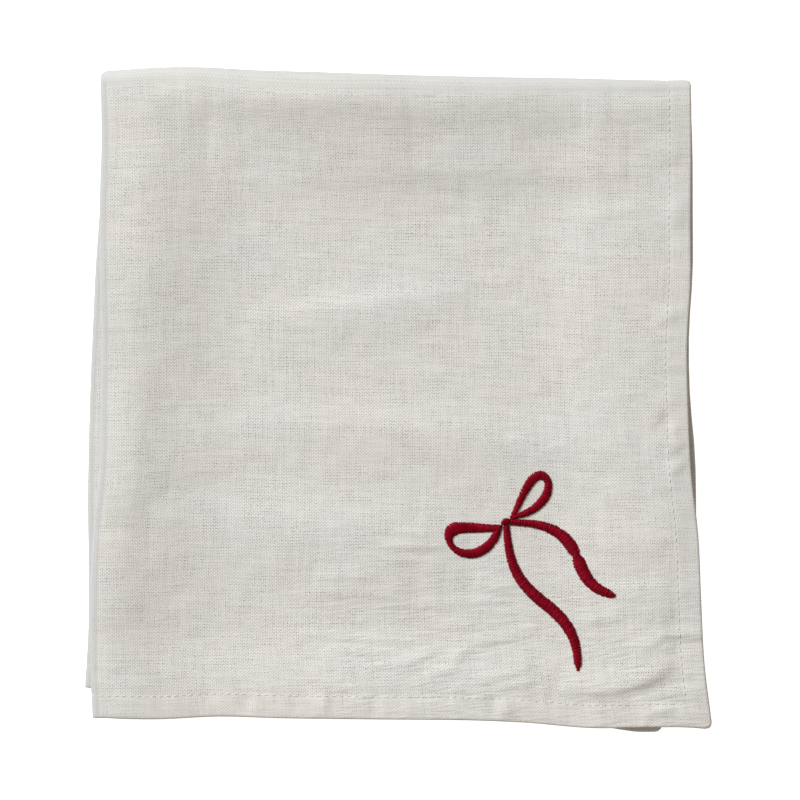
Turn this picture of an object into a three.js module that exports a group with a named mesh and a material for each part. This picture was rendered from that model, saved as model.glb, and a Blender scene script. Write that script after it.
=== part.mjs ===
import * as THREE from 'three';

// A linen napkin, folded in half at its left side and in half again at its top, lying flat.
// Sizes are in millimetres. X runs across the folded napkin, Y towards its top fold and Z up.
// The two folds make four layers of one cloth: layer 1 lies on top and layer 4 on the surface.

// The flat cloth, from its two fold lines out to its hems
const FRONT_WIDTH = 214;
const BACK_WIDTH = 206;
const NEAR_LENGTH = 229;
const FAR_LENGTH = 221;

const CLOTH_THICKNESS = 1;
const HEM_THICKNESS = 1.4;
const HEM_WIDTH = 9;
const HEM_STEP = 1.2;
const LAYER_GAP = 0.5;

// Cloth that turns over each fold, to one side of the fold's edge
const SIDE_ARC = 1.8;
const TOP_ARC = 3.2;

// Radii of the round corners: of the flat cloth, and at the ends of its top fold
const CORNER_ROUND = 2.6;
const FOLD_CORNER_ROUND = 1.8;

// Where the layers lie level with each other, the folded napkin spans these heights of the plan
const PLAN_TOP = 114.5;
const PLAN_BOTTOM = -111.5;

const CLOTH_COLOUR = 0xd6d2cb;
const CLOTH_ROUGHNESS = 0.95;
const THREAD_COLOUR = 0x860d1d;
const THREAD_ROUGHNESS = 0.6;

// Left side, from the top (down 0) to the bottom (down 1). The lower pair of layers peeps out below the
// middle. ridge is how far in from the upper pair's fold the puffed fold is highest, and puff is the share of
// its full puff.
const LEFT_SIDE = [
  { down: 0.0, upperX: -104.0, lowerX: -104.0, ridge: 11, puff: 0.6 },
  { down: 0.1, upperX: -103.8, lowerX: -103.7, ridge: 11, puff: 1.0 },
  { down: 0.2, upperX: -104.5, lowerX: -104.5, ridge: 10.5, puff: 1.05 },
  { down: 0.3, upperX: -104.4, lowerX: -106.0, ridge: 9.5, puff: 1.1 },
  { down: 0.4, upperX: -103.9, lowerX: -107.0, ridge: 8, puff: 0.95 },
  { down: 0.5, upperX: -104.2, lowerX: -107.9, ridge: 6.5, puff: 0.85 },
  { down: 0.6, upperX: -104.6, lowerX: -108.5, ridge: 6, puff: 1.05 },
  { down: 0.7, upperX: -106.7, lowerX: -108.8, ridge: 5.5, puff: 1.1 },
  { down: 0.8, upperX: -107.7, lowerX: -108.5, ridge: 5, puff: 1.05 },
  { down: 0.9, upperX: -107.7, lowerX: -108.6, ridge: 5, puff: 0.95 },
  { down: 1.0, upperX: -106.9, lowerX: -109.8, ridge: 5, puff: 0.75 },
];

// Right side: the hem of each layer. Layers 1 and 4 are one cloth over the top fold, and so are 2 and 3.
const RIGHT_SIDE = [
  { down: 0.0, layer1: 102.2, layer2: 100.4, layer3: 100.4, layer4: 102.2 },
  { down: 0.1, layer1: 102.4, layer2: 100.2, layer3: 100.0, layer4: 103.0 },
  { down: 0.2, layer1: 102.2, layer2: 99.8, layer3: 99.6, layer4: 103.1 },
  { down: 0.3, layer1: 102.2, layer2: 99.2, layer3: 99.4, layer4: 103.1 },
  { down: 0.4, layer1: 101.0, layer2: 98.0, layer3: 99.0, layer4: 101.8 },
  { down: 0.5, layer1: 101.4, layer2: 97.0, layer3: 98.8, layer4: 102.1 },
  { down: 0.6, layer1: 102.4, layer2: 96.0, layer3: 98.8, layer4: 103.9 },
  { down: 0.7, layer1: 104.8, layer2: 95.2, layer3: 98.6, layer4: 104.3 },
  { down: 0.8, layer1: 105.8, layer2: 94.2, layer3: 98.4, layer4: 103.9 },
  { down: 0.9, layer1: 107.0, layer2: 93.0, layer3: 98.2, layer4: 103.5 },
  { down: 1.0, layer1: 109.8, layer2: 92.2, layer3: 98.0, layer4: 103.0 },
];

// Top fold, from the left (across 0) to the right (across 1)
const TOP_SIDE = [
  { across: 0.0, y: 115.3, puff: 0.4 },
  { across: 0.08, y: 116.4, puff: 0.6 },
  { across: 0.16, y: 116.5, puff: 1.0 },
  { across: 0.25, y: 115.5, puff: 1.2 },
  { across: 0.35, y: 114.9, puff: 1.25 },
  { across: 0.5, y: 113.9, puff: 1.15 },
  { across: 0.65, y: 113.2, puff: 1.0 },
  { across: 0.8, y: 112.7, puff: 0.75 },
  { across: 0.9, y: 112.2, puff: 0.45 },
  { across: 0.96, y: 112.0, puff: 0.3 },
  { across: 1.0, y: 112.1, puff: 0.25 },
];

// Bottom: the hem of each layer. Layers 1 and 2 meet at the side fold, and so do 3 and 4.
const BOTTOM_SIDE = [
  { across: 0.0, layer1: -111.0, layer2: -111.0, layer3: -100.6, layer4: -100.6 },
  { across: 0.1, layer1: -111.4, layer2: -110.6, layer3: -101.0, layer4: -100.9 },
  { across: 0.2, layer1: -110.5, layer2: -109.6, layer3: -101.4, layer4: -101.3 },
  { across: 0.3, layer1: -111.1, layer2: -109.9, layer3: -101.8, layer4: -101.8 },
  { across: 0.45, layer1: -111.5, layer2: -110.4, layer3: -102.3, layer4: -102.6 },
  { across: 0.6, layer1: -111.8, layer2: -110.7, layer3: -102.8, layer4: -103.2 },
  { across: 0.7, layer1: -112.7, layer2: -111.6, layer3: -103.2, layer4: -103.6 },
  { across: 0.8, layer1: -114.5, layer2: -112.8, layer3: -103.5, layer4: -104.0 },
  { across: 0.9, layer1: -114.3, layer2: -114.4, layer3: -103.8, layer4: -104.3 },
  { across: 0.95, layer1: -114.3, layer2: -115.9, layer3: -103.9, layer4: -104.4 },
  { across: 1.0, layer1: -115.0, layer2: -116.0, layer3: -104.0, layer4: -104.5 },
];

// Puffs that hold the folds open: extra room between the layers, most at the fold's ridge.
// BEFORE and AFTER are their reach to the fold's side of that ridge and away from the fold.
const UPPER_SIDE_PUFF = 2.1;
const LOWER_SIDE_PUFF = 1.6;
const SIDE_PUFF_BEFORE = 4;
const SIDE_PUFF_AFTER = 26;
const TOP_PUFF = 3.2;
const TOP_RIDGE_INSET = 1;
const TOP_PUFF_BEFORE = 8;
const TOP_PUFF_AFTER = 14;

// Soft ridges (height above 0) and troughs (below 0) of the top layer, from x1, y1 to x2, y2. bow is how far
// the middle swings to the left of that line, and left and right are the reach to each side of it.
const RIDGES = [
  { name: 'along the top fold', x1: -78, y1: 111, x2: 74, y2: 108, bow: 0, left: 16, right: 34, height: 1.3 },
  { name: 'below the top', x1: -68, y1: 88.5, x2: 80, y2: 84.5, bow: 0, left: 18, right: 9, height: 1.5 },
  { name: 'upper middle', x1: -56, y1: 28, x2: 24, y2: 39, bow: 1, left: 4.5, right: 12, height: 0.8 },
  { name: 'middle', x1: -78, y1: -9, x2: 84, y2: -17, bow: 3, left: 8, right: 12, height: 0.8 },
  { name: 'left of the bow', x1: -88, y1: -42, x2: 24, y2: -48, bow: 1, left: 10, right: 17, height: 1.1 },
  { name: 'under the loop', x1: -30, y1: -60.5, x2: 4, y2: -65.5, bow: 0, left: 10, right: 5, height: 0.45 },
  { name: 'along the bottom', x1: -84, y1: -107, x2: 78, y2: -108, bow: 0, left: 22, right: 12, height: 0.9 },
  { name: 'left middle', x1: -97, y1: -44, x2: -94, y2: 16, bow: 1, left: 14, right: 8, height: 0.5 },
  { name: 'lower left', x1: -101, y1: -92, x2: -99, y2: -46, bow: 0, left: 14, right: 9, height: 0.4 },
  { name: 'right', x1: 84, y1: -70, x2: 86, y2: 78, bow: -1, left: 12, right: 14, height: 0.5 },
  { name: 'lower right', x1: 94, y1: -78, x2: 93, y2: -6, bow: 0, left: 10, right: 8, height: 0.5 },
  { name: 'corner curve', x1: 56, y1: -99.5, x2: 98, y2: -89, bow: -6, left: 9, right: 4, height: 0.6 },
];
const RIDGE_STEPS = 10;
const RIDGE_TAPER = 0.6;

// The layers are thicker together where their hems lie, from these lines outwards
const HEMS_FROM_X = 83;
const HEMS_FROM_Y = -104;
const HEMS_RAMP_X = 34;
const HEMS_RAMP_Y = 26;

// The upper pair hangs down a little past the lower pair, and layer 1 past all the others
const OVERHANG_FROM_Y = -105.5;
const OVERHANG_FROM_X = 104.5;
const OVERHANG_REACH = 10;
const OVERHANG_DROP = 0.2;

// Grid lines over the cloth, measured out from a fold and in from a hem
const ARC_CELLS = 3;
const AFTER_ARC = [1.2, 3.2, 6];
const HEM_LINES = [0, 0.8, CORNER_ROUND, HEM_WIDTH - HEM_STEP, HEM_WIDTH];
const TOP_LAYER_CELLS = 26;
const UNDER_LAYER_CELLS = 7;
const SLOPE_STEP = 0.05;
const FLOOR_CONTACT = 0.05;

// The embroidered bow: its knot's place, and how high its satin stitches stand on the cloth
const KNOT_X = 37.6;
const KNOT_Y = -42.5;
const KNOT_RADIUS = 1.4;
const KNOT_CLEARANCE = 1.8;
const THREAD_HEIGHT = 0.8;
const EDGE_HEIGHT_SHARE = 0.25;
const PIECE_GAP = 0.4;

// The knot's rings, from its flat underside to its flat top, as shares of its radius and height
const KNOT_STEPS = 12;
const KNOT_RINGS = [
  { radius: 1, height: 0 },
  { radius: 1, height: 0.35 },
  { radius: 0.75, height: 0.85 },
  { radius: 0.35, height: 1 },
];

// Loops, as teardrops that point at the knot. turn is the loop's angle from +X, to which bend is added over
// its length. The eye is its opening, and lean moves the eye sideways towards the loop's end.
const LOOPS = [
  {
    name: 'bow_loop_left', turn: 224, bend: -28, length: 22.2, width: 14.2,
    eyeStart: 5.6, eyeLength: 14.2, eyeWidth: 5.8, lean: 0.7,
  },
  {
    name: 'bow_loop_top', turn: 34, bend: 16, length: 22.2, width: 10.8,
    eyeStart: 4.8, eyeLength: 14.6, eyeWidth: 4, lean: 0,
  },
];
const LOOP_STEPS = 32;
const TEARDROP_FULLNESS = 1.54;

// Tails, as bands that leave the knot at the angle start, turn by bend over their length and swing between.
// late above 1 puts the middle of the swing further from the knot.
const TAILS = [
  {
    name: 'bow_tail_right', start: -3, bend: -14, swing: -56, late: 1.42,
    length: 48.5, narrow: 2.4, wide: 4.8,
  },
  {
    name: 'bow_tail_bottom', start: -85, bend: -4, swing: 48, late: 1.12,
    length: 59, narrow: 2.4, wide: 4.4,
  },
];
const TAIL_STEPS = 30;
const TAIL_END = 0.05;
const TAIL_END_WIDTH = 0.5;
const DOME_STEPS = 4;

const RADIANS = Math.PI / 180;

// Smooth value of one column of a table, between its rows
function readTable(rows, key, column, place) {
  const last = rows.length - 1;
  const t = THREE.MathUtils.clamp(place, 0, 1);
  let i = 0;
  while (i < last - 1 && rows[i + 1][key] < t) i += 1;
  const slopeAt = (k) => {
    const a = rows[Math.max(k - 1, 0)];
    const b = rows[Math.min(k + 1, last)];
    return (b[column] - a[column]) / (b[key] - a[key]);
  };
  const from = rows[i];
  const to = rows[i + 1];
  const span = to[key] - from[key];
  const s = (t - from[key]) / span;
  const s2 = s * s;
  const s3 = s2 * s;
  return (
    (2 * s3 - 3 * s2 + 1) * from[column] +
    (s3 - 2 * s2 + s) * span * slopeAt(i) +
    (3 * s2 - 2 * s3) * to[column] +
    (s3 - s2) * span * slopeAt(i + 1)
  );
}

// 0 below from, 1 above to, with a smooth ramp between
function ramp(value, from, to) {
  return THREE.MathUtils.smoothstep(value, from, to);
}

// A bell shape with its own reach on each side of its middle
function bell(distance, before, after) {
  const reach = distance < 0 ? before : after;
  return Math.exp(-((distance / reach) ** 2));
}

// Points along a line between two ends that bows out in its middle
function bowedLine({ x1, y1, x2, y2, bow }) {
  const steps = bow === 0 ? 1 : RIDGE_STEPS;
  const along = new THREE.Vector2(x2 - x1, y2 - y1);
  const outward = new THREE.Vector2(-along.y, along.x).normalize();
  return Array.from({ length: steps + 1 }, (_, k) => {
    const share = k / steps;
    const swing = 4 * bow * share * (1 - share);
    return new THREE.Vector2(x1, y1).addScaledVector(along, share).addScaledVector(outward, swing);
  });
}

const ridgeLines = RIDGES.map((ridge) => bowedLine(ridge));

// Height of one soft ridge at a place of the plan: a bell across its line, which fades towards its ends
function ridgeHeight(ridge, line, x, y) {
  const steps = line.length - 1;
  let nearest = { away: Infinity };
  for (let k = 0; k < steps; k += 1) {
    const along = line[k + 1].clone().sub(line[k]);
    const from = new THREE.Vector2(x, y).sub(line[k]);
    const share = THREE.MathUtils.clamp(from.dot(along) / along.lengthSq(), 0, 1);
    const away = from.distanceTo(along.clone().multiplyScalar(share));
    if (away < nearest.away) nearest = { away, place: (k + share) / steps, onLeft: along.cross(from) > 0 };
  }
  const reach = nearest.onLeft ? ridge.left : ridge.right;
  return ridge.height * Math.sin(Math.PI * nearest.place) ** RIDGE_TAPER * bell(nearest.away, reach, reach);
}

// Sum of the soft ridges of the top layer at a place of the plan
function relief(x, y) {
  return RIDGES.reduce((sum, ridge, i) => sum + ridgeHeight(ridge, ridgeLines[i], x, y), 0);
}

// Heights of the middle of each layer above the surface, where the layers lie level
function layerHeights(x, y) {
  const down = (PLAN_TOP - y) / (PLAN_TOP - PLAN_BOTTOM);
  const across = (x - LEFT_SIDE[0].upperX) / (RIGHT_SIDE[0].layer1 - LEFT_SIDE[0].upperX);
  const fromSide = x - readTable(LEFT_SIDE, 'down', 'upperX', down);
  const fromTop = readTable(TOP_SIDE, 'across', 'y', across) - y;
  const ridge = readTable(LEFT_SIDE, 'down', 'ridge', down);
  const sideShare = readTable(LEFT_SIDE, 'down', 'puff', down);
  const topShare = readTable(TOP_SIDE, 'across', 'puff', across);
  const sidePuff = sideShare * bell(fromSide - ridge, SIDE_PUFF_BEFORE * ridge, SIDE_PUFF_AFTER);
  const topPuff = topShare * bell(fromTop - TOP_RIDGE_INSET, TOP_PUFF_BEFORE, TOP_PUFF_AFTER);
  const hems = Math.max(
    ramp(x, HEMS_FROM_X - HEMS_RAMP_X, HEMS_FROM_X),
    ramp(-y, -HEMS_FROM_Y - HEMS_RAMP_Y, -HEMS_FROM_Y),
  );
  const thickness = THREE.MathUtils.lerp(CLOTH_THICKNESS, HEM_THICKNESS, hems);
  const spacing = thickness + LAYER_GAP;
  const below = ramp(-y, -OVERHANG_FROM_Y, -OVERHANG_FROM_Y + OVERHANG_REACH);
  const beside = ramp(x, OVERHANG_FROM_X, OVERHANG_FROM_X + OVERHANG_REACH);
  const layer3 = thickness / 2 + spacing + LOWER_SIDE_PUFF * sidePuff;
  const layer2 = layer3 + spacing + TOP_PUFF * topPuff - OVERHANG_DROP * below;
  const lift = spacing + UPPER_SIDE_PUFF * sidePuff + relief(x, y);
  return { layer3, layer2, layer1: layer2 + lift - OVERHANG_DROP * beside };
}

// How far the cloth has turned over at a fold: from -90 degrees, through the fold's edge at 0, to 90
function foldAngle(distance, arc) {
  return (THREE.MathUtils.clamp(distance / arc, -1, 1) * Math.PI) / 2;
}

// Share of the way from the end of a fold's arc to the hem
function shareOfWay(distance, arc, reach) {
  return Math.max(Math.abs(distance) - arc, 0) / (reach - arc);
}

// How far a place of the cloth is from its side hem and from its end hem
function hemDistances(p, q) {
  return {
    toSide: (p > 0 ? FRONT_WIDTH : BACK_WIDTH) - Math.abs(p),
    toEnd: (q > 0 ? NEAR_LENGTH : FAR_LENGTH) - Math.abs(q),
  };
}

// Thickness of the cloth, which is doubled over along its hems
function thicknessAt(p, q) {
  const { toSide, toEnd } = hemDistances(p, q);
  const plain = ramp(Math.min(toSide, toEnd), HEM_WIDTH - HEM_STEP, HEM_WIDTH);
  return THREE.MathUtils.lerp(HEM_THICKNESS, CLOTH_THICKNESS, plain);
}

// The same place of the cloth, moved so that the cloth's square corners come out round
function rounded(p, q) {
  const { toSide, toEnd } = hemDistances(p, q);
  const inwardP = Math.max(CORNER_ROUND - toSide, 0);
  const inwardQ = Math.max(CORNER_ROUND - toEnd, 0);
  if (inwardP === 0 || inwardQ === 0) return { p, q };
  const pull = 1 - Math.max(inwardP, inwardQ) / Math.hypot(inwardP, inwardQ);
  return { p: p - Math.sign(p) * pull * inwardP, q: q - Math.sign(q) * pull * inwardQ };
}

// How far an edge draws in towards the end of a fold, so that the folded corner is round
function cornerInset(fromCorner) {
  const near = THREE.MathUtils.clamp(1 - fromCorner / FOLD_CORNER_ROUND, 0, 1);
  return FOLD_CORNER_ROUND * (1 - Math.sqrt(1 - near ** 2));
}

// The middle of the folded cloth. flatP runs from the back half's hem (negative), over the side fold, to the
// front half's hem. flatQ runs from the far half's hem (negative), over the top fold, to the near half's hem.
function clothPoint(flatP, flatQ) {
  const half = thicknessAt(flatP, flatQ) / 2;
  const { p, q } = rounded(flatP, flatQ);
  const front = p > 0;
  const near = q > 0;
  const layer = near ? (front ? 'layer1' : 'layer2') : (front ? 'layer4' : 'layer3');
  const across = shareOfWay(p, SIDE_ARC, front ? FRONT_WIDTH : BACK_WIDTH);
  const down = shareOfWay(q, TOP_ARC, near ? NEAR_LENGTH : FAR_LENGTH);
  const leftX = readTable(LEFT_SIDE, 'down', near ? 'upperX' : 'lowerX', down);
  const rightX = readTable(RIGHT_SIDE, 'down', layer, down);
  const topY = readTable(TOP_SIDE, 'across', 'y', across);
  const bottomY = readTable(BOTTOM_SIDE, 'across', layer, across);

  // Each pair of layers has a middle, and its layers lie half their spacing to each side of it
  const planX = THREE.MathUtils.lerp(leftX, rightX, across);
  const planY = THREE.MathUtils.lerp(topY, bottomY, down);
  const { layer1, layer2, layer3 } = layerHeights(planX, planY);
  const layer4 = half;
  const upperMiddle = (layer1 + layer2) / 2;
  const lowerMiddle = (layer3 + layer4) / 2;
  const overTop = foldAngle(q, TOP_ARC);
  const overSide = foldAngle(p, SIDE_ARC);
  const turned = (1 + Math.sin(overTop)) / 2;
  const sideRadius = THREE.MathUtils.lerp(layer3 - layer4, layer1 - layer2, turned) / 2;
  const topRadius = (upperMiddle - lowerMiddle) / 2;

  // The side fold is a half circle between the layers of a pair, and the top fold one between the pairs
  const pairY = THREE.MathUtils.lerp(topY - half - sideRadius - topRadius, bottomY, down);
  const radius = topRadius + sideRadius * Math.sin(overSide);
  const y = pairY + radius * Math.cos(overTop);
  const inset = cornerInset(topY - half - y);
  const leftEnd = leftX + half + sideRadius + inset;
  const x = THREE.MathUtils.lerp(leftEnd, rightX - inset, across) - sideRadius * Math.cos(overSide);
  const z = (upperMiddle + lowerMiddle) / 2 + radius * Math.sin(overTop);
  return new THREE.Vector3(x, y, z);
}

// The cloth's outward direction, from four points around a place
function clothNormal(p, q) {
  const alongP = clothPoint(p + SLOPE_STEP, q).sub(clothPoint(p - SLOPE_STEP, q));
  const alongQ = clothPoint(p, q + SLOPE_STEP).sub(clothPoint(p, q - SLOPE_STEP));
  return alongQ.cross(alongP).normalize();
}

// Grid lines from one hem, over the fold, to the other hem
function gridLines(arc, backReach, backCells, frontReach, frontCells) {
  const half = (reach, cells) => {
    const lines = [];
    for (let i = 1; i <= ARC_CELLS; i += 1) lines.push((arc * i) / ARC_CELLS);
    lines.push(...AFTER_ARC.map((d) => arc + d));
    const start = lines[lines.length - 1];
    const end = reach - HEM_WIDTH;
    for (let i = 1; i < cells; i += 1) lines.push(start + ((end - start) * i) / cells);
    return [...lines, ...HEM_LINES.map((d) => reach - d).reverse()];
  };
  const back = half(backReach, backCells).map((d) => -d).reverse();
  return [...back, 0, ...half(frontReach, frontCells)];
}

function meshFrom(name, points, faces, colour, roughness) {
  const geometry = new THREE.BufferGeometry();
  geometry.setAttribute('position', new THREE.Float32BufferAttribute(points, 3));
  geometry.setIndex(faces);
  geometry.computeVertexNormals();
  const finish = new THREE.MeshStandardMaterial({ color: colour, roughness, metalness: 0 });
  const mesh = new THREE.Mesh(geometry, finish);
  mesh.name = name;
  return mesh;
}

// The whole cloth: an outer and an inner face, half a thickness to each side of its middle, closed along its
// hems
function buildCloth() {
  const ps = gridLines(SIDE_ARC, BACK_WIDTH, UNDER_LAYER_CELLS, FRONT_WIDTH, TOP_LAYER_CELLS);
  const qs = gridLines(TOP_ARC, FAR_LENGTH, UNDER_LAYER_CELLS, NEAR_LENGTH, TOP_LAYER_CELLS);
  const points = [];
  for (const side of [1, -1]) {
    for (const p of ps) {
      for (const q of qs) {
        const out = clothNormal(p, q).multiplyScalar((side * thicknessAt(p, q)) / 2);
        const point = clothPoint(p, q).add(out);
        points.push(point.x, point.y, point.z < FLOOR_CONTACT ? 0 : point.z);
      }
    }
  }
  const rows = qs.length;
  const inner = ps.length * rows;
  const at = (i, j) => i * rows + j;
  const faces = [];
  const quad = (a, b, c, d) => faces.push(a, b, c, a, c, d);
  for (let i = 0; i + 1 < ps.length; i += 1) {
    for (let j = 0; j + 1 < rows; j += 1) {
      const corners = [at(i, j), at(i, j + 1), at(i + 1, j + 1), at(i + 1, j)];
      quad(...corners);
      quad(...corners.map((k) => inner + k).reverse());
    }
  }
  const closeEdge = (a, b) => quad(a, b, inner + b, inner + a);
  for (let i = 0; i + 1 < ps.length; i += 1) {
    closeEdge(at(i, 0), at(i + 1, 0));
    closeEdge(at(i + 1, rows - 1), at(i, rows - 1));
  }
  for (let j = 0; j + 1 < rows; j += 1) {
    closeEdge(at(0, j + 1), at(0, j));
    closeEdge(at(ps.length - 1, j), at(ps.length - 1, j + 1));
  }
  return meshFrom('napkin_cloth', points, faces, CLOTH_COLOUR, CLOTH_ROUGHNESS);
}

// Height of the underside of the embroidery, just above the top layer
function stitchFloor(x, y) {
  return layerHeights(x, y).layer1 + CLOTH_THICKNESS / 2 + PIECE_GAP;
}

// One section of satin stitch between two edge points: a flat underside and a domed top
function stitchSection(edgeA, edgeB) {
  const section = [];
  for (let k = 0; k <= DOME_STEPS; k += 1) {
    const share = k / DOME_STEPS;
    const x = THREE.MathUtils.lerp(edgeA.x, edgeB.x, share);
    const y = THREE.MathUtils.lerp(edgeA.y, edgeB.y, share);
    const dome = Math.sqrt(Math.sin(Math.PI * share));
    const height = THREE.MathUtils.lerp(EDGE_HEIGHT_SHARE, 1, dome) * THREAD_HEIGHT;
    section.push([x, y, stitchFloor(x, y) + height]);
  }
  for (const edge of [edgeB, edgeA]) section.push([edge.x, edge.y, stitchFloor(edge.x, edge.y)]);
  return section;
}

// Joins sections one after the other, either round to the first again or with a closed end each
function bandOfSections(name, sections, closed) {
  const size = sections[0].length;
  const count = sections.length;
  const faces = [];
  for (let i = 0; i < (closed ? count : count - 1); i += 1) {
    for (let k = 0; k < size; k += 1) {
      const a = i * size + k;
      const b = i * size + ((k + 1) % size);
      const c = ((i + 1) % count) * size + ((k + 1) % size);
      const d = ((i + 1) % count) * size + k;
      faces.push(a, c, b, a, d, c);
    }
  }
  if (!closed) {
    const end = (count - 1) * size;
    for (let k = 1; k + 1 < size; k += 1) {
      faces.push(0, k, k + 1);
      faces.push(end, end + k + 1, end + k);
    }
  }
  return meshFrom(name, sections.flat(2), faces, THREAD_COLOUR, THREAD_ROUGHNESS);
}

// A point that lies along and across from the knot, in a frame turned by an angle
function fromKnot(along, across, turn) {
  const spot = new THREE.Vector2(along, across).rotateAround(new THREE.Vector2(), turn * RADIANS);
  return spot.add(new THREE.Vector2(KNOT_X, KNOT_Y));
}

// A teardrop, drawn round its edge from its point at start back to that point. width is its full width.
function teardrop(angle, start, length, width) {
  const along = start + (length * (1 - Math.cos(angle))) / 2;
  const across = (width / TEARDROP_FULLNESS) * Math.sin(angle) * Math.abs(Math.sin(angle / 2));
  return { along, across };
}

function buildLoop(loop) {
  const turnAt = (along) => loop.turn + (loop.bend * along) / loop.length;
  const onLoop = ({ along, across }) => fromKnot(along, across, turnAt(along));
  const sections = [];
  for (let i = 0; i < LOOP_STEPS; i += 1) {
    const angle = (2 * Math.PI * i) / LOOP_STEPS;
    const outer = teardrop(angle, KNOT_CLEARANCE, loop.length - KNOT_CLEARANCE, loop.width);
    const eye = teardrop(angle, loop.eyeStart, loop.eyeLength, loop.eyeWidth);
    eye.across += (loop.lean * eye.along) / loop.length;
    sections.push(stitchSection(onLoop(eye), onLoop(outer)));
  }
  return bandOfSections(loop.name, sections, true);
}

function buildTail(tail) {
  const sections = [];
  const step = tail.length / TAIL_STEPS;
  const spot = fromKnot(KNOT_CLEARANCE, 0, tail.start);
  for (let i = 0; i <= TAIL_STEPS; i += 1) {
    const share = i / TAIL_STEPS;
    const belly = Math.sin(Math.PI * share ** tail.late);
    const heading = (tail.start + tail.bend * share + tail.swing * belly ** 2) * RADIANS;
    const fromEnd = Math.min(share, 1 - share);
    const taper = THREE.MathUtils.lerp(TAIL_END_WIDTH, 1, ramp(fromEnd, 0, TAIL_END));
    const half = (THREE.MathUtils.lerp(tail.narrow, tail.wide, belly) * taper) / 2;
    const sideways = new THREE.Vector2(-Math.sin(heading), Math.cos(heading)).multiplyScalar(half);
    sections.push(stitchSection(spot.clone().sub(sideways), spot.clone().add(sideways)));
    spot.add(new THREE.Vector2(Math.cos(heading), Math.sin(heading)).multiplyScalar(step));
  }
  return bandOfSections(tail.name, sections, false);
}

function buildKnot() {
  const points = [];
  const faces = [];
  for (const ring of KNOT_RINGS) {
    for (let i = 0; i < KNOT_STEPS; i += 1) {
      const spot = fromKnot(ring.radius * KNOT_RADIUS, 0, (360 * i) / KNOT_STEPS);
      points.push(spot.x, spot.y, stitchFloor(spot.x, spot.y) + THREAD_HEIGHT * ring.height);
    }
  }
  for (let r = 0; r + 1 < KNOT_RINGS.length; r += 1) {
    for (let i = 0; i < KNOT_STEPS; i += 1) {
      const a = r * KNOT_STEPS + i;
      const b = r * KNOT_STEPS + ((i + 1) % KNOT_STEPS);
      faces.push(a, b, b + KNOT_STEPS, a, b + KNOT_STEPS, a + KNOT_STEPS);
    }
  }
  const top = (KNOT_RINGS.length - 1) * KNOT_STEPS;
  for (let i = 1; i + 1 < KNOT_STEPS; i += 1) {
    faces.push(0, i + 1, i);
    faces.push(top, top + i, top + i + 1);
  }
  return meshFrom('bow_knot', points, faces, THREAD_COLOUR, THREAD_ROUGHNESS);
}

// Stands the napkin on its own middle, with its lowest point at zero
function centre(group) {
  const box = new THREE.Box3().setFromObject(group);
  const middle = box.getCenter(new THREE.Vector3());
  group.children.forEach((mesh) => mesh.position.set(-middle.x, -middle.y, -box.min.z));
}

const napkin = new THREE.Group();
napkin.name = 'cloth_napkin';
napkin.add(buildCloth());
napkin.add(buildKnot());
LOOPS.forEach((loop) => napkin.add(buildLoop(loop)));
TAILS.forEach((tail) => napkin.add(buildTail(tail)));
centre(napkin);

export default napkin;
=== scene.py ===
import math

import bpy
import numpy as np
from mathutils import Matrix, Vector


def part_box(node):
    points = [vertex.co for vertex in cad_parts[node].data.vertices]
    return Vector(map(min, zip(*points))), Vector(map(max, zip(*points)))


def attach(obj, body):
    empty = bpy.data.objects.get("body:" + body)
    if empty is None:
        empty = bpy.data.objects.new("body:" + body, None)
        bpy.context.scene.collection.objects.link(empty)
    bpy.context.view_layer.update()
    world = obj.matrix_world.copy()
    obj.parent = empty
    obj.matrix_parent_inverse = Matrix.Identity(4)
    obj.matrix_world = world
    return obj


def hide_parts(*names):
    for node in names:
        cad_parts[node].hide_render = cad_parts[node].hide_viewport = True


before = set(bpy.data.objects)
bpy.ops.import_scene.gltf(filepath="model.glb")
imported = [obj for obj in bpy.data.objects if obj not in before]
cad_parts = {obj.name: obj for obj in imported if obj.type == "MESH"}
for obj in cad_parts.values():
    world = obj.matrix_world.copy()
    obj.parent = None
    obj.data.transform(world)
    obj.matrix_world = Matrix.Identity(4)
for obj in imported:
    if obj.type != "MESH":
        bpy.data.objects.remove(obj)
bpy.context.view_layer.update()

# A linen napkin, folded in half at its left side and in half again at its top, seen from straight above.
# Sizes below are in millimetres, and meshes are made in metres. X runs across, Y towards the top fold, Z up.
MM = 0.001

# The flat cloth, from its two fold lines out to its hems
FRONT_WIDTH = 214
BACK_WIDTH = 206
NEAR_LENGTH = 229
FAR_LENGTH = 221

CLOTH_THICKNESS = 0.8
HEM_THICKNESS = 0.97
HEM_WIDTH = 9
HEM_STEP = 2.4
HEM_ROUND = 0.7

# Spacing of the layers, plain and at their hems, and how much more the lowest hem lifts those above it
LAYER_PITCH = 1.5
HEM_PITCH = 1.9
HEM_LIFT = 0.2

# Cloth that turns over each fold, to one side of the fold's edge
SIDE_ARC = 1.8
TOP_ARC = 3.2

# Radii of the round corners: of the flat cloth, and at the ends of its top fold
CORNER_ROUND = 2.6
FOLD_CORNER_ROUND = 1.8

# Where the layers lie level with each other, the folded napkin spans these heights of the plan
PLAN_TOP = 114.5
PLAN_BOTTOM = -111.5

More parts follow.
